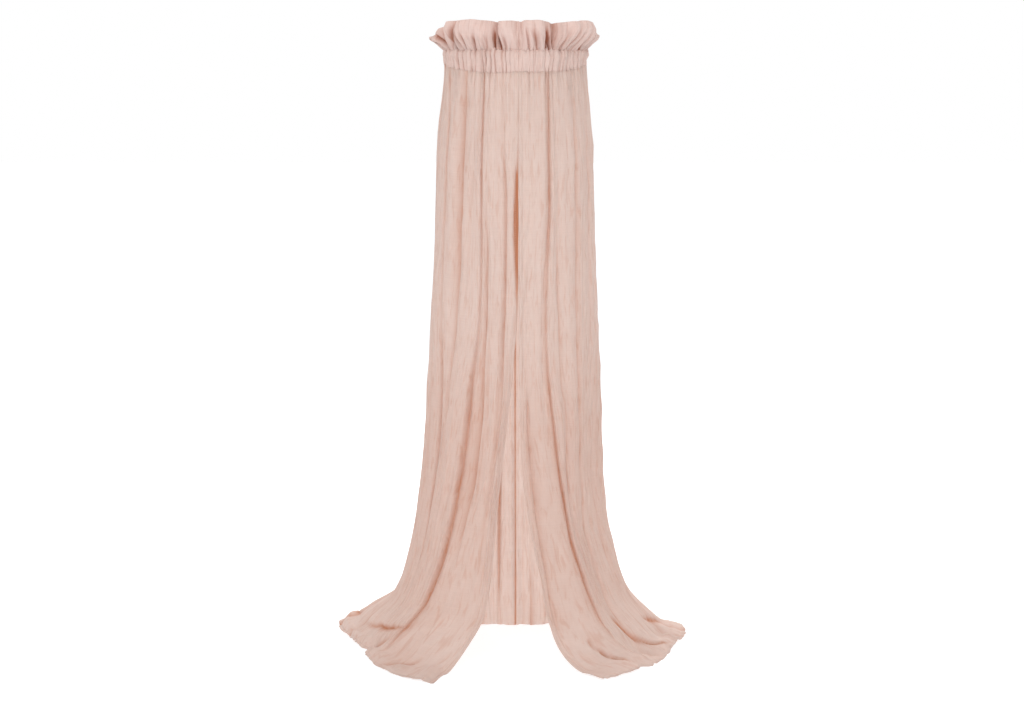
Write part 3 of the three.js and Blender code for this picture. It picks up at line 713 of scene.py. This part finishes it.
def drape(where, panel, puckers, sizes):
    """The hanging cloth, from under the pocket to the hem on the floor, and its stitch rows."""
    side, seed = panel["side"], panel["seed"]
    folds = with_scattered(panel["folds"], seed + 1)
    places = np.array([along_fold(fold, mid_fall, 1) for fold in folds])
    hem_share = hem_width / panel_width
    hem_rise = 1 - hem_width / drape_length
    hem_steps = (
        hem_share, hem_share + hem_step_across, 1 - hem_share, 1 - hem_share - hem_step_across
    )
    at = spread(places, *fold_closeness, drape_columns, hem_steps)[None, :]
    foot_steps = (hem_rise, hem_rise - hem_step_down)
    fall_at = spread((0.0, hem_from), *fall_closeness, drape_rows, foot_steps)
    fall = fall_at[:, None]
    level = levels_of(panel["levels"], fall_at)
    edge, reach = envelope(side, level)
    rng = np.random.default_rng(seed)

    paths = np.stack([along_fold(fold, fall_at, 1) for fold in folds], axis=1)
    drawn = np.stack([curve([(0, 0), *zip(places, path), (1, 1)], at[0]) for path in paths])
    sewn = smooth((1 - at) / sewn_run)
    loose = smooth(fall * 7) * sewn
    sink, shift = fold_relief(folds, places, at, fall_at, rng)
    swell = loose_swell(seed, at, fall, loose)
    gather = pucker(puckers, sizes, np.clip(drawn, 0, 1)) - 0.5
    gather = gather * np.exp(-fall * drape_length / gather_run)
    crinkle = crinkles(seed, at, fall, rng)
    cross = cross_creases(at, fall, rng)
    dents = floor_dents(panel["floor_creases"], drawn, fall)
    sink = sink + dents
    turned, tucked = front_edge(side, at, fall)

    angle = edge + (math.pi - seam_gap / 2 / reach(math.pi) - edge) * (drawn + shift)
    inwards = fold_depth * level["fold"] * sink - swell * level["fold"] - pucker_height * gather
    inwards = inwards + turned + slit_depth * tucked
    inwards = inwards + (crinkle_depth * crinkle + cross_depth * cross) * loose
    at_hem = smooth((fall - hem_from) / hem_run) * sewn
    inwards = inwards + at_hem * hem_ripple * rolling(seed + 92, at, fall, *ripple_waves)
    inwards = inwards + at_hem * hem_notch * bell(drawn - panel["notch"], hem_notch_run)
    drop = hoop_height - pocket_foot(angle) + seam_lap
    lying, at_tip = lying_rise(where, seed, at, fall, level, angle, sink)
    z = floor + np.maximum(level["height"] * drop + lying, cloth_thickness)
    points = around(side, angle, reach(angle) - inwards, z)

    hem = (at < hem_share + hem_step_across / 2) | (fall > hem_rise - hem_step_down / 2)
    hem = hem.astype(float)
    seam = (at > 1 - hem_share - hem_step_across / 2).astype(float)
    thickness = cloth_thickness + (hem_thickness - cloth_thickness) * np.maximum(hem, seam)
    facing = outward(points)
    points = points + facing * (hem_raise * hem[..., None])
    points[..., 2] = np.maximum(points[..., 2], floor + cloth_thickness)
    uv = np.stack(np.broadcast_arrays(at * panel_width, (1 - fall) * drape_length), axis=-1)
    # Painted shade, which the mesh keeps in its crease attribute
    tint = painted_drape_shade(at, fall, angle, at_tip, sink, gather, crinkle, dents, tucked)
    hanging = cloth(f"cotton_drape_{where}", points, thickness[..., None], uv, tint, floor)
    turn_out(hanging)
    column = int(np.searchsorted(at[0], hem_share * hem_stitch_share))
    row = int(np.searchsorted(fall_at, 1 - hem_stitch_share * hem_width / drape_length))
    runs = [
        (points[3:row, column], facing[3:row, column]),
        (points[row, column:], facing[row, column:]),
    ]
    return hanging, runs


def casing(where, panel, puckers, sizes, low_sizes):
    """The rod pocket: two layers of cloth round the hoop, puckered between its rows of stitches."""
    side, seed = panel["side"], panel["seed"] + 3
    start = math.asin((side * front_meet + front_gap / 2) / hoop_radius)
    end = math.pi - seam_gap / 2 / hoop_radius
    share = spread(puckers, *pucker_closeness, pocket_columns)[:, None]
    turn = np.linspace(0, 2 * math.pi, pocket_points, endpoint=False)[None, :]
    down = (1 - np.cos(turn)) / 2
    front = np.sin(turn) > -1e-9
    strayed = wander(seed, share * 9) + 0.5 * wander(seed + 1, share * 3 + down)
    tilted = np.clip(share + pucker_wander * strayed * np.sin(math.pi * down), 0, 1)
    crest, low_crest = pucker(puckers, sizes, tilted), pucker(puckers, low_sizes, tilted)
    crest = crest + (low_crest - crest) * smooth((down - low_pucker_from) / low_pucker_run)
    small, _, _ = arches(uneven_places(seed + 2, 3 * pucker_count), tilted, fine_roundness)

    held = curve(held_shares, down)
    full = smooth(held_cover + held_contrast * rolling(seed + 6, share, down, *held_waves))
    held = held + (full_held - held) * full
    stretched = smooth_front_share * bell(share, smooth_front[where], smooth_front_power)
    held = np.where(front, held * (1 - stretched), 1.0)
    out = np.where(front, pocket_half_depth, -pocket_back_depth) * curve(belly_shares, down)
    outwards = np.where(front, 1.0, back_pucker_share)
    out = out + outwards * pucker_height * (crest - pucker_middle) * held
    out = out + np.where(front, fine_pucker_front, fine_pucker_back) * (small - 0.5)

    angle = start + (end - start) * share
    raised = np.clip(wander(seed + 8, share * 24) + crest[:, :1] - 0.7, *wave_limits)
    high, low = pocket_roof + roof_wave * raised, -pocket_foot(angle)
    up = high + (low - high) * down
    round_tube = np.sqrt(np.clip((tube_radius + tube_clear) ** 2 - up ** 2, 0, None))
    out = np.where(front, np.maximum(out, round_tube), np.minimum(out, -round_tube))
    ring = around(side, angle, hoop_radius + out, up)
    away = ring - ring.mean(axis=1, keepdims=True)
    away /= np.linalg.norm(away, axis=2, keepdims=True)
    inner = ring - away * cloth_thickness

    columns, sides = ring.shape[:2]
    count = columns * sides
    first = np.arange(sides)
    second = (first + 1) % sides
    column = np.arange(columns - 1)[:, None] * sides
    a, b = (column + first).ravel(), (column + second).ravel()
    wall = np.stack([a, b, b + sides, a + sides], axis=1)
    cap = np.stack([first, first + count, second + count, second], axis=1)
    last = cap[:, ::-1] + (columns - 1) * sides
    faces = np.concatenate([wall, wall[:, ::-1] + count, cap, last])
    points = np.concatenate([ring.reshape(-1, 3), inner.reshape(-1, 3)])
    u = np.repeat(share[:, 0] * panel_width, sides)
    v = np.tile(np.linspace(0, pocket_cloth, sides), columns)
    uv = np.tile(np.stack([u, v], 1), (2, 1))
    # Painted shade in the creases between the puckers, where the seams hold them
    tint = (pocket_painted_shade * np.clip(1 - crest / 0.5, 0, 1) ** 1.5 * held).ravel()
    piece = mesh_piece(f"rod_pocket_{where}", points, faces, uv, np.tile(tint, 2))
    turn_out(piece)
    front_down = down[0, : sides // 2]
    rows = [int(np.argmin(np.abs(front_down - height))) for height in seam_row_shares]
    runs = [(ring[2:-2, row], away[2:-2, row]) for row in rows]
    return piece, runs


def heading(where, panel, puckers, sizes):
    """The ruffle: the cloth folded double, gathered at its foot, with a folded top edge."""
    side, seed = panel["side"], panel["seed"] + 7
    base = hoop_radius + heading_stand
    start = math.asin((side * front_meet + front_gap / 2) / base)
    end = math.pi - seam_gap / 2 / base
    ends_at, lobe_reach, lobe_lean = np.array(panel["lobes"]).T
    bounds = np.array([0, *ends_at])
    rng = np.random.default_rng(seed)
    creases = list(panel["ruffle_creases"])
    for place in rng.uniform(*crease_places, scattered_creases):
        creases.append((place, rng.uniform(*crease_moves), rng.uniform(*crease_strengths)))
    crowded = [*bounds, *(place for place, _, _ in creases)]
    at = spread(crowded, *ruffle_closeness, heading_columns)[None, :]
    rise = np.linspace(0, 1, heading_rows)[:, None] ** 0.9

    sway = sway_width * wander(seed + 1, at * 4) * smooth(rise)
    lobe, n, _ = arches(bounds, np.clip(at + sway, 0, 1), lobe_roundness)
    ends = bell(at, ruffle_end_run) + bell(1 - at, ruffle_end_run)
    lobe = np.maximum(lobe, ruffle_end_share * ends)
    foot = pucker(puckers, sizes, at)
    swayed = np.clip(at + 2 * sway, 0, 1)
    small, _, _ = arches(uneven_places(seed + 3, pucker_count), swayed, small_roundness)

    hollow = np.zeros(np.broadcast_shapes(at.shape, rise.shape))
    for place, moved, depth in creases:
        width = rng.uniform(*crease_widths) * (1 + 1.2 * rise)
        reaches = rng.uniform(*crease_reaches)
        full, fading_run = crease_full_share * reaches, (1 - crease_full_share) * reaches
        fading = smooth((rise - full) / fading_run)
        core = bell(at - place - moved * rise ** 1.3, width, crease_power)
        hollow += depth * (1 - crease_lost * fading) * core
    lasting = 1 - small_lost * smooth((rise - small_from) / small_run)
    foot_part = foot_depth * (foot - 0.5) * (1 - smooth(rise / foot_rise))
    middle_part = small_depth * (small - pucker_middle) * lasting - crease_depth * hollow
    middle_part = smooth(rise / middle_rise) * middle_part
    wave = edge_wave * rolling(seed + 5, at, rise, *edge_waves)
    wave = wave * smooth((rise - edge_from) / edge_run)
    lobe_part = lobe * lobe_reach[n] * heading_reach - (1 - lobe) * heading_tuck
    out = foot_part + middle_part + wave + curve(flare_shares, rise) * lobe_part
    lean = lobe_lean[n] * lobe * np.diff(bounds)[n] * smooth(rise * 1.2)
    angle = start + (end - start) * np.clip(at + lean * (1 - ends), 0, 1)
    droop = curve(panel["droops"], at) * (0.4 + 0.6 * lobe) * rise ** droop_power
    up = rise * (heading_height - heading_dip * (1 - lobe)) - droop
    up = up + top_wave * wander(seed + 6, at * 7) * rise
    points = around(side, angle, base + out, pocket_roof - seam_lap * (1 - rise) + up)

    uv = np.stack(np.broadcast_arrays(at * panel_width, rise * heading_height), axis=-1)
    # Painted shade in the ruffle's creases and in the notches between its lobes
    notch = (1 - lobe) ** 1.5 * (1 - 0.4 * rise)
    tint = np.clip(np.clip(hollow, 0, 1) ** 1.3 + notch, 0, 1)
    doubled = smooth(rise / 0.4) + 0 * at
    thickness = cloth_thickness / 2 + (heading_cloth - cloth_thickness / 2) * doubled
    piece = cloth(f"ruffle_{where}", points, thickness[..., None], uv, tint)
    turn_out(piece)
    return piece


# Finishes
# Patterns of the weave: scale across, along and through, then strength, detail and distortion
crinkle_pattern = ((130, 20, 1), 1.0, 4.0, 0.7)
puff_pattern = ((48, 22, 1), 0.8, 2.0, 0.5)
slub_pattern = ((14, 380, 1), 0.05, 1.0, 0.0)
warp_pattern = ((460, 30, 1), 0.08, 1.0, 0.0)
# Between which values of a pattern something changes, and from what to what
# The first three paint shade where the crinkles, warp and puffs lie low
line_range = (0.34, 0.48, 0.2, 0.0)
warp_shade_range = (0.28, 0.42, 0.08, 0.0)
puff_range = (0.3, 0.7, 0.08, 0.0)
streak_range = (0.3, 0.7, 0.98, 1.015)
roughness_range = (0.0, 1.0, 0.85, 0.98)
cotton_gloss = {"Sheen Weight": 0.1, "Sheen Roughness": 0.5, "Specular IOR Level": 0.15}
cotton_relief, metal_relief, metal_relief_depth = 0.7, 0.15, 0.0001


def placed(nodes, kind, values=()):
    """A new node, with the given values in its inputs."""
    node = nodes.new(kind)
    for name, value in dict(values).items():
        node.inputs[name].default_value = value
    return node


def worked_out(nodes, links, operation, first, second):
    """A Math node on two linked values."""
    node = nodes.new("ShaderNodeMath")
    node.operation = operation
    links.new(first, node.inputs[0])
    links.new(second, node.inputs[1])
    return node.outputs[0]


def ranged(nodes, links, value, low, high, to_low, to_high):
    limits = {"From Min": low, "From Max": high, "To Min": to_low, "To Max": to_high}
    node = placed(nodes, "ShaderNodeMapRange", limits)
    links.new(value, node.inputs["Value"])
    return node.outputs["Result"]


def tinted(nodes, links, share):
    """A mix of two colours, by a share that changes over the surface."""
    tint = nodes.new("ShaderNodeMix")
    tint.data_type = "RGBA"
    links.new(share, tint.inputs["Factor"])
    return tint


def bumped(nodes, links, height, strength, distance):
    bump = placed(nodes, "ShaderNodeBump", {"Strength": strength, "Distance": distance})
    links.new(height, bump.inputs["Height"])
    return bump.outputs["Normal"]


def new_finish(name):
    """A new material, its nodes and links, and its main shader."""
    material = bpy.data.materials.new(name)
    material.use_nodes = True
    nodes, links = material.node_tree.nodes, material.node_tree.links
    return material, nodes, links, nodes["Principled BSDF"]


def darker(color, share):
    return tuple(c * share for c in color[:3]) + (1.0,)


def woven_group():
    """Crinkled plain weave: how high the cloth stands, and how its colour varies, with painted
    shade in its creases and where its crinkles, warp and puffs lie low.
    """
    group = bpy.data.node_groups.new("crinkled weave", "ShaderNodeTree")
    sockets = (
        ("Crinkle", "INPUT", "Float"),
        ("Color", "INPUT", "Color"),
        ("Painted Shade Color", "INPUT", "Color"),
        ("Color", "OUTPUT", "Color"),
        ("Height", "OUTPUT", "Float"),
        ("Roughness", "OUTPUT", "Float"),
    )
    for name, way, kind in sockets:
        group.interface.new_socket(name, in_out=way, socket_type=f"NodeSocket{kind}")
    nodes, links = group.nodes, group.links
    given, result = nodes.new("NodeGroupInput"), nodes.new("NodeGroupOutput")
    cloth_place = nodes.new("ShaderNodeUVMap")
    cloth_place.uv_map = "cloth"

    def pattern(scale, strength, detail, distortion):
        stretch = placed(nodes, "ShaderNodeMapping", {"Scale": scale})
        links.new(cloth_place.outputs["UV"], stretch.inputs["Vector"])
        grain = {"Scale": 1.0, "Detail": detail, "Distortion": distortion}
        noise = placed(nodes, "ShaderNodeTexNoise", grain)
        links.new(stretch.outputs["Vector"], noise.inputs["Vector"])
        part = nodes.new("ShaderNodeMath")
        part.operation = "MULTIPLY"
        part.inputs[1].default_value = strength
        links.new(noise.outputs["Fac"], part.inputs[0])
        return part.outputs[0], noise.outputs["Fac"]

    def total(first, second, operation="ADD"):
        return worked_out(nodes, links, operation, first, second)

    crinkle, crinkle_mask = pattern(*crinkle_pattern)
    puff, puff_mask = pattern(*puff_pattern)
    slub, slub_mask = pattern(*slub_pattern)
    warp, warp_mask = pattern(*warp_pattern)
    height = total(total(crinkle, puff), given.outputs["Crinkle"], "MULTIPLY")
    height = total(total(height, slub), warp)
    links.new(height, result.inputs["Height"])

    # Painted shade: the crease attribute and the low crinkles, warp and puffs mix in the shade
    # colour
    crease = nodes.new("ShaderNodeAttribute")
    crease.attribute_name = "crease"
    line = ranged(nodes, links, crinkle_mask, *line_range)
    warp_shade = ranged(nodes, links, warp_mask, *warp_shade_range)
    deep = total(crease.outputs["Fac"], total(line, warp_shade))
    deep = total(deep, ranged(nodes, links, puff_mask, *puff_range))
    tone = tinted(nodes, links, deep)
    links.new(given.outputs["Color"], tone.inputs["A"])
    links.new(given.outputs["Painted Shade Color"], tone.inputs["B"])
    bright = nodes.new("ShaderNodeVectorMath")
    bright.operation = "SCALE"
    links.new(tone.outputs["Result"], bright.inputs["Vector"])
    links.new(ranged(nodes, links, slub_mask, *streak_range), bright.inputs["Scale"])
    links.new(bright.outputs["Vector"], result.inputs["Color"])
    rough = ranged(nodes, links, crinkle_mask, *roughness_range)
    links.new(rough, result.inputs["Roughness"])
    return group


weave = woven_group()


def srgb(red, green, blue):
    return tuple(((c / 255 + 0.055) / 1.055) ** 2.4 for c in (red, green, blue)) + (1.0,)


def cotton_finish(name, color, painted_shade_color, bump, see_through, open_weave):
    """Thin muslin. Light falls through its weave, so its folds and its inside stay bright.

    Part of it passes straight through the open weave, which looks closed to the camera.
    """
    material, nodes, links, shader = new_finish(name)
    for socket, value in cotton_gloss.items():
        shader.inputs[socket].default_value = value
    woven = nodes.new("ShaderNodeGroup")
    woven.node_tree = weave
    woven.inputs["Crinkle"].default_value = 1.0
    woven.inputs["Color"].default_value = color
    woven.inputs["Painted Shade Color"].default_value = painted_shade_color
    normal = bumped(nodes, links, woven.outputs["Height"], cotton_relief, bump)
    links.new(woven.outputs["Color"], shader.inputs["Base Color"])
    links.new(woven.outputs["Roughness"], shader.inputs["Roughness"])
    links.new(normal, shader.inputs["Normal"])
    through = nodes.new("ShaderNodeBsdfTranslucent")
    links.new(woven.outputs["Color"], through.inputs["Color"])
    links.new(normal, through.inputs["Normal"])
    mixed = placed(nodes, "ShaderNodeMixShader", {"Fac": see_through})
    links.new(shader.outputs["BSDF"], mixed.inputs[1])
    links.new(through.outputs["BSDF"], mixed.inputs[2])
    ray = nodes.new("ShaderNodeLightPath")
    unseen = ranged(nodes, links, ray.outputs["Is Camera Ray"], 0.0, 1.0, open_weave, 0.0)
    clear = nodes.new("ShaderNodeBsdfTransparent")
    airy = nodes.new("ShaderNodeMixShader")
    links.new(unseen, airy.inputs["Fac"])
    links.new(mixed.outputs["Shader"], airy.inputs[1])
    links.new(clear.outputs["BSDF"], airy.inputs[2])
    links.new(airy.outputs["Shader"], nodes["Material Output"].inputs["Surface"])
    return material


def metal_finish(name, color, metallic, roughness, grain):
    """Steel with fine wear in its gloss."""
    material, nodes, links, shader = new_finish(name)
    shader.inputs["Metallic"].default_value = metallic
    place = nodes.new("ShaderNodeTexCoord")
    noise = placed(nodes, "ShaderNodeTexNoise", {"Scale": grain, "Detail": 4.0})
    links.new(place.outputs["Object"], noise.inputs["Vector"])
    worn = noise.outputs["Fac"]
    gloss = ranged(nodes, links, worn, 0.0, 1.0, roughness * 0.8, roughness * 1.3)
    links.new(gloss, shader.inputs["Roughness"])
    tint = tinted(nodes, links, worn)
    tint.inputs["A"].default_value = color
    tint.inputs["B"].default_value = darker(color, 0.93)
    links.new(tint.outputs["Result"], shader.inputs["Base Color"])
    normal = bumped(nodes, links, worn, metal_relief, metal_relief_depth)
    links.new(normal, shader.inputs["Normal"])
    return material


def ribbed_finish(name, color, ribs_per_metre, depth):
    """Woven tape or twisted thread: fine ribs across it."""
    material, nodes, links, shader = new_finish(name)
    shader.inputs["Roughness"].default_value = 0.9
    place = nodes.new("ShaderNodeTexCoord")
    ribs = placed(nodes, "ShaderNodeTexWave", {"Scale": ribs_per_metre, "Distortion": 1.5})
    ribs.bands_direction = "Z"
    links.new(place.outputs["Object"], ribs.inputs["Vector"])
    tint = tinted(nodes, links, ribs.outputs["Fac"])
    tint.inputs["A"].default_value = darker(color, 0.86)
    tint.inputs["B"].default_value = color
    links.new(tint.outputs["Result"], shader.inputs["Base Color"])
    links.new(bumped(nodes, links, ribs.outputs["Fac"], 1.0, depth), shader.inputs["Normal"])
    return material


# Each cotton's second colour is the painted shade mixed into its creases
nude_cotton = cotton_finish(
    "nude crinkled cotton", srgb(230, 211, 202), srgb(200, 138, 106), 0.0020, 0.45, 0.66
)
doubled_cotton = cotton_finish(
    "nude cotton folded double", srgb(235, 213, 205), srgb(182, 124, 102), 0.0018, 0.3, 0.35
)
pocket_cotton = cotton_finish(
    "nude cotton of the pocket", srgb(239, 215, 206), srgb(192, 130, 106), 0.0018, 0.2, 0.5
)
coated_steel = metal_finish("white coated steel", srgb(242, 240, 236), 0.0, 0.45, 90.0)
nickel = metal_finish("nickel plate", srgb(201, 203, 205), 1.0, 0.25, 220.0)
woven_tape = ribbed_finish("woven cotton tape", srgb(233, 220, 207), 260.0, 0.0003)
nude_thread = ribbed_finish("nude sewing thread", srgb(232, 204, 193), 900.0, 0.0001)

solid_finishes = {
    "hoop_half": coated_steel,
    "hoop_spigot": nickel,
    "hanging_ring": nickel,
    "hanging_tape": woven_tape,
}
for node_name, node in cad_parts.items():
    for start, finish in solid_finishes.items():
        if node_name.startswith(start):
            for slot in node.material_slots:
                slot.material = finish

# The two panels. Notch is where the hem is drawn in, as a share of the way to the back seam.
panels = {
    "left": {
        "side": -1,
        "seed": 11,
        "levels": left_level_shares,
        "folds": left_front_folds,
        "floor_creases": left_floor_creases,
        "notch": 0.355,
        "lobes": left_lobes,
        "droops": left_droops,
        "ruffle_creases": left_ruffle_creases,
    },
    "right": {
        "side": 1,
        "seed": 23,
        "levels": right_level_shares,
        "folds": right_front_folds,
        "floor_creases": right_floor_creases,
        "notch": 0.155,
        "lobes": right_lobes,
        "droops": right_droops,
        "ruffle_creases": right_ruffle_creases,
    },
}
for where, panel in panels.items():
    puckers = uneven_places(panel["seed"] + 500, pucker_count, 0.35)
    rng = np.random.default_rng(panel["seed"] + 501)
    sizes, low_sizes = rng.uniform(*pucker_sizes, (2, pucker_count))
    hanging, hem_runs = drape(where, panel, puckers, low_sizes)
    pocket, pocket_runs = casing(where, panel, puckers, sizes, low_sizes)
    ruffle = heading(where, panel, puckers, sizes)
    threads = stitches(f"seam_threads_{where}", hem_runs + pocket_runs)
    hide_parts(f"drape_{where}", f"front_hem_{where}")
    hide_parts(f"casing_{where}")
    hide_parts(f"heading_{where}")
    finishes = (nude_cotton, pocket_cotton, doubled_cotton, nude_thread)
    for piece, finish in zip((hanging, pocket, ruffle, threads), finishes):
        piece.data.materials.append(finish)
        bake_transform(piece)


def any_ray(nodes, links, *kinds):
    """1 for a ray of any of the kinds."""
    ray = nodes.new("ShaderNodeLightPath")
    result = ray.outputs[kinds[0]]
    for kind in kinds[1:]:
        result = worked_out(nodes, links, "MAXIMUM", result, ray.outputs[kind])
    return result


# The floor: matt and pale, with a glow for the camera, so that it stays white but for shadows
floor_size, floor_gap = 60, 0.0005
floor_color = (0.87, 0.90, 0.92, 1)
floor_glow = 0.26
bpy.ops.object.select_all(action="DESELECT")
bpy.ops.mesh.primitive_plane_add(size=floor_size, location=(0, 0, floor - floor_gap))
ground = bpy.context.active_object
ground.name = "studio_floor"
white, floor_nodes, floor_links, unused = new_finish("studio white")
floor_nodes.remove(unused)
matte = placed(floor_nodes, "ShaderNodeBsdfDiffuse", {"Color": floor_color})
glow = floor_nodes.new("ShaderNodeEmission")
shown = any_ray(floor_nodes, floor_links, "Is Camera Ray", "Is Glossy Ray")
seen = floor_nodes.new("ShaderNodeMath")
seen.operation = "MULTIPLY"
seen.inputs[1].default_value = floor_glow
both = floor_nodes.new("ShaderNodeAddShader")
floor_links.new(shown, seen.inputs[0])
floor_links.new(seen.outputs[0], glow.inputs["Strength"])
floor_links.new(matte.outputs[0], both.inputs[0])
floor_links.new(glow.outputs[0], both.inputs[1])
floor_links.new(both.outputs[0], floor_nodes["Material Output"].inputs["Surface"])
ground.data.materials.append(white)

# Light: an even studio white, a broad soft lamp from the front left, and one from behind
air_color, air_strength, air_seen_strength = (1, 1, 1, 1), 0.91, 1.0
world = bpy.data.worlds.new("studio")
bpy.context.scene.world = world
world.use_nodes = True
air, air_links = world.node_tree.nodes, world.node_tree.links
air.clear()
lighting = {"Color": air_color, "Strength": air_strength}
backdrop = {"Color": air_color, "Strength": air_seen_strength}
even = placed(air, "ShaderNodeBackground", lighting)
seen_white = placed(air, "ShaderNodeBackground", backdrop)
either = any_ray(air, air_links, "Is Camera Ray", "Is Glossy Ray", "Is Transmission Ray")
pick = air.new("ShaderNodeMixShader")
sky = air.new("ShaderNodeOutputWorld")
air_links.new(either, pick.inputs[0])
air_links.new(even.outputs[0], pick.inputs[1])
air_links.new(seen_white.outputs[0], pick.inputs[2])
air_links.new(pick.outputs[0], sky.inputs["Surface"])


def soft_lamp(name, place, aim, size, watts):
    lamp = bpy.data.lights.new(name, "AREA")
    lamp.shape = "DISK"
    lamp.size = size
    lamp.energy = watts
    holder = bpy.data.objects.new(name, lamp)
    holder.location = place
    holder.rotation_mode = "QUATERNION"
    holder.rotation_quaternion = (Vector(aim) - Vector(place)).to_track_quat("-Z", "Y")
    bpy.context.scene.collection.objects.link(holder)


soft_lamp("soft lamp", (-0.7, -4.0, 2.2), (0, 0, -0.6), 3.2, 42)
soft_lamp("back lamp", (0.6, 3.2, 1.0), (0, 0, -0.7), 2.4, 80)

# Camera
camera_distance = 5.2
camera_height = 1.345
camera_side = -0.0078
camera_tilt = math.radians(7.08)
camera_lens = 78.6
sensor_width = 36
eye_data = bpy.data.cameras.new("camera")
eye_data.lens = camera_lens
eye_data.sensor_width = sensor_width
camera = bpy.data.objects.new("camera", eye_data)
camera.location = (camera_side, -camera_distance, floor + camera_height)
camera.rotation_euler = (math.pi / 2 - camera_tilt, 0, 0)
bpy.context.scene.collection.objects.link(camera)
bpy.context.scene.camera = camera
bpy.context.scene.view_settings.view_transform = "Standard"
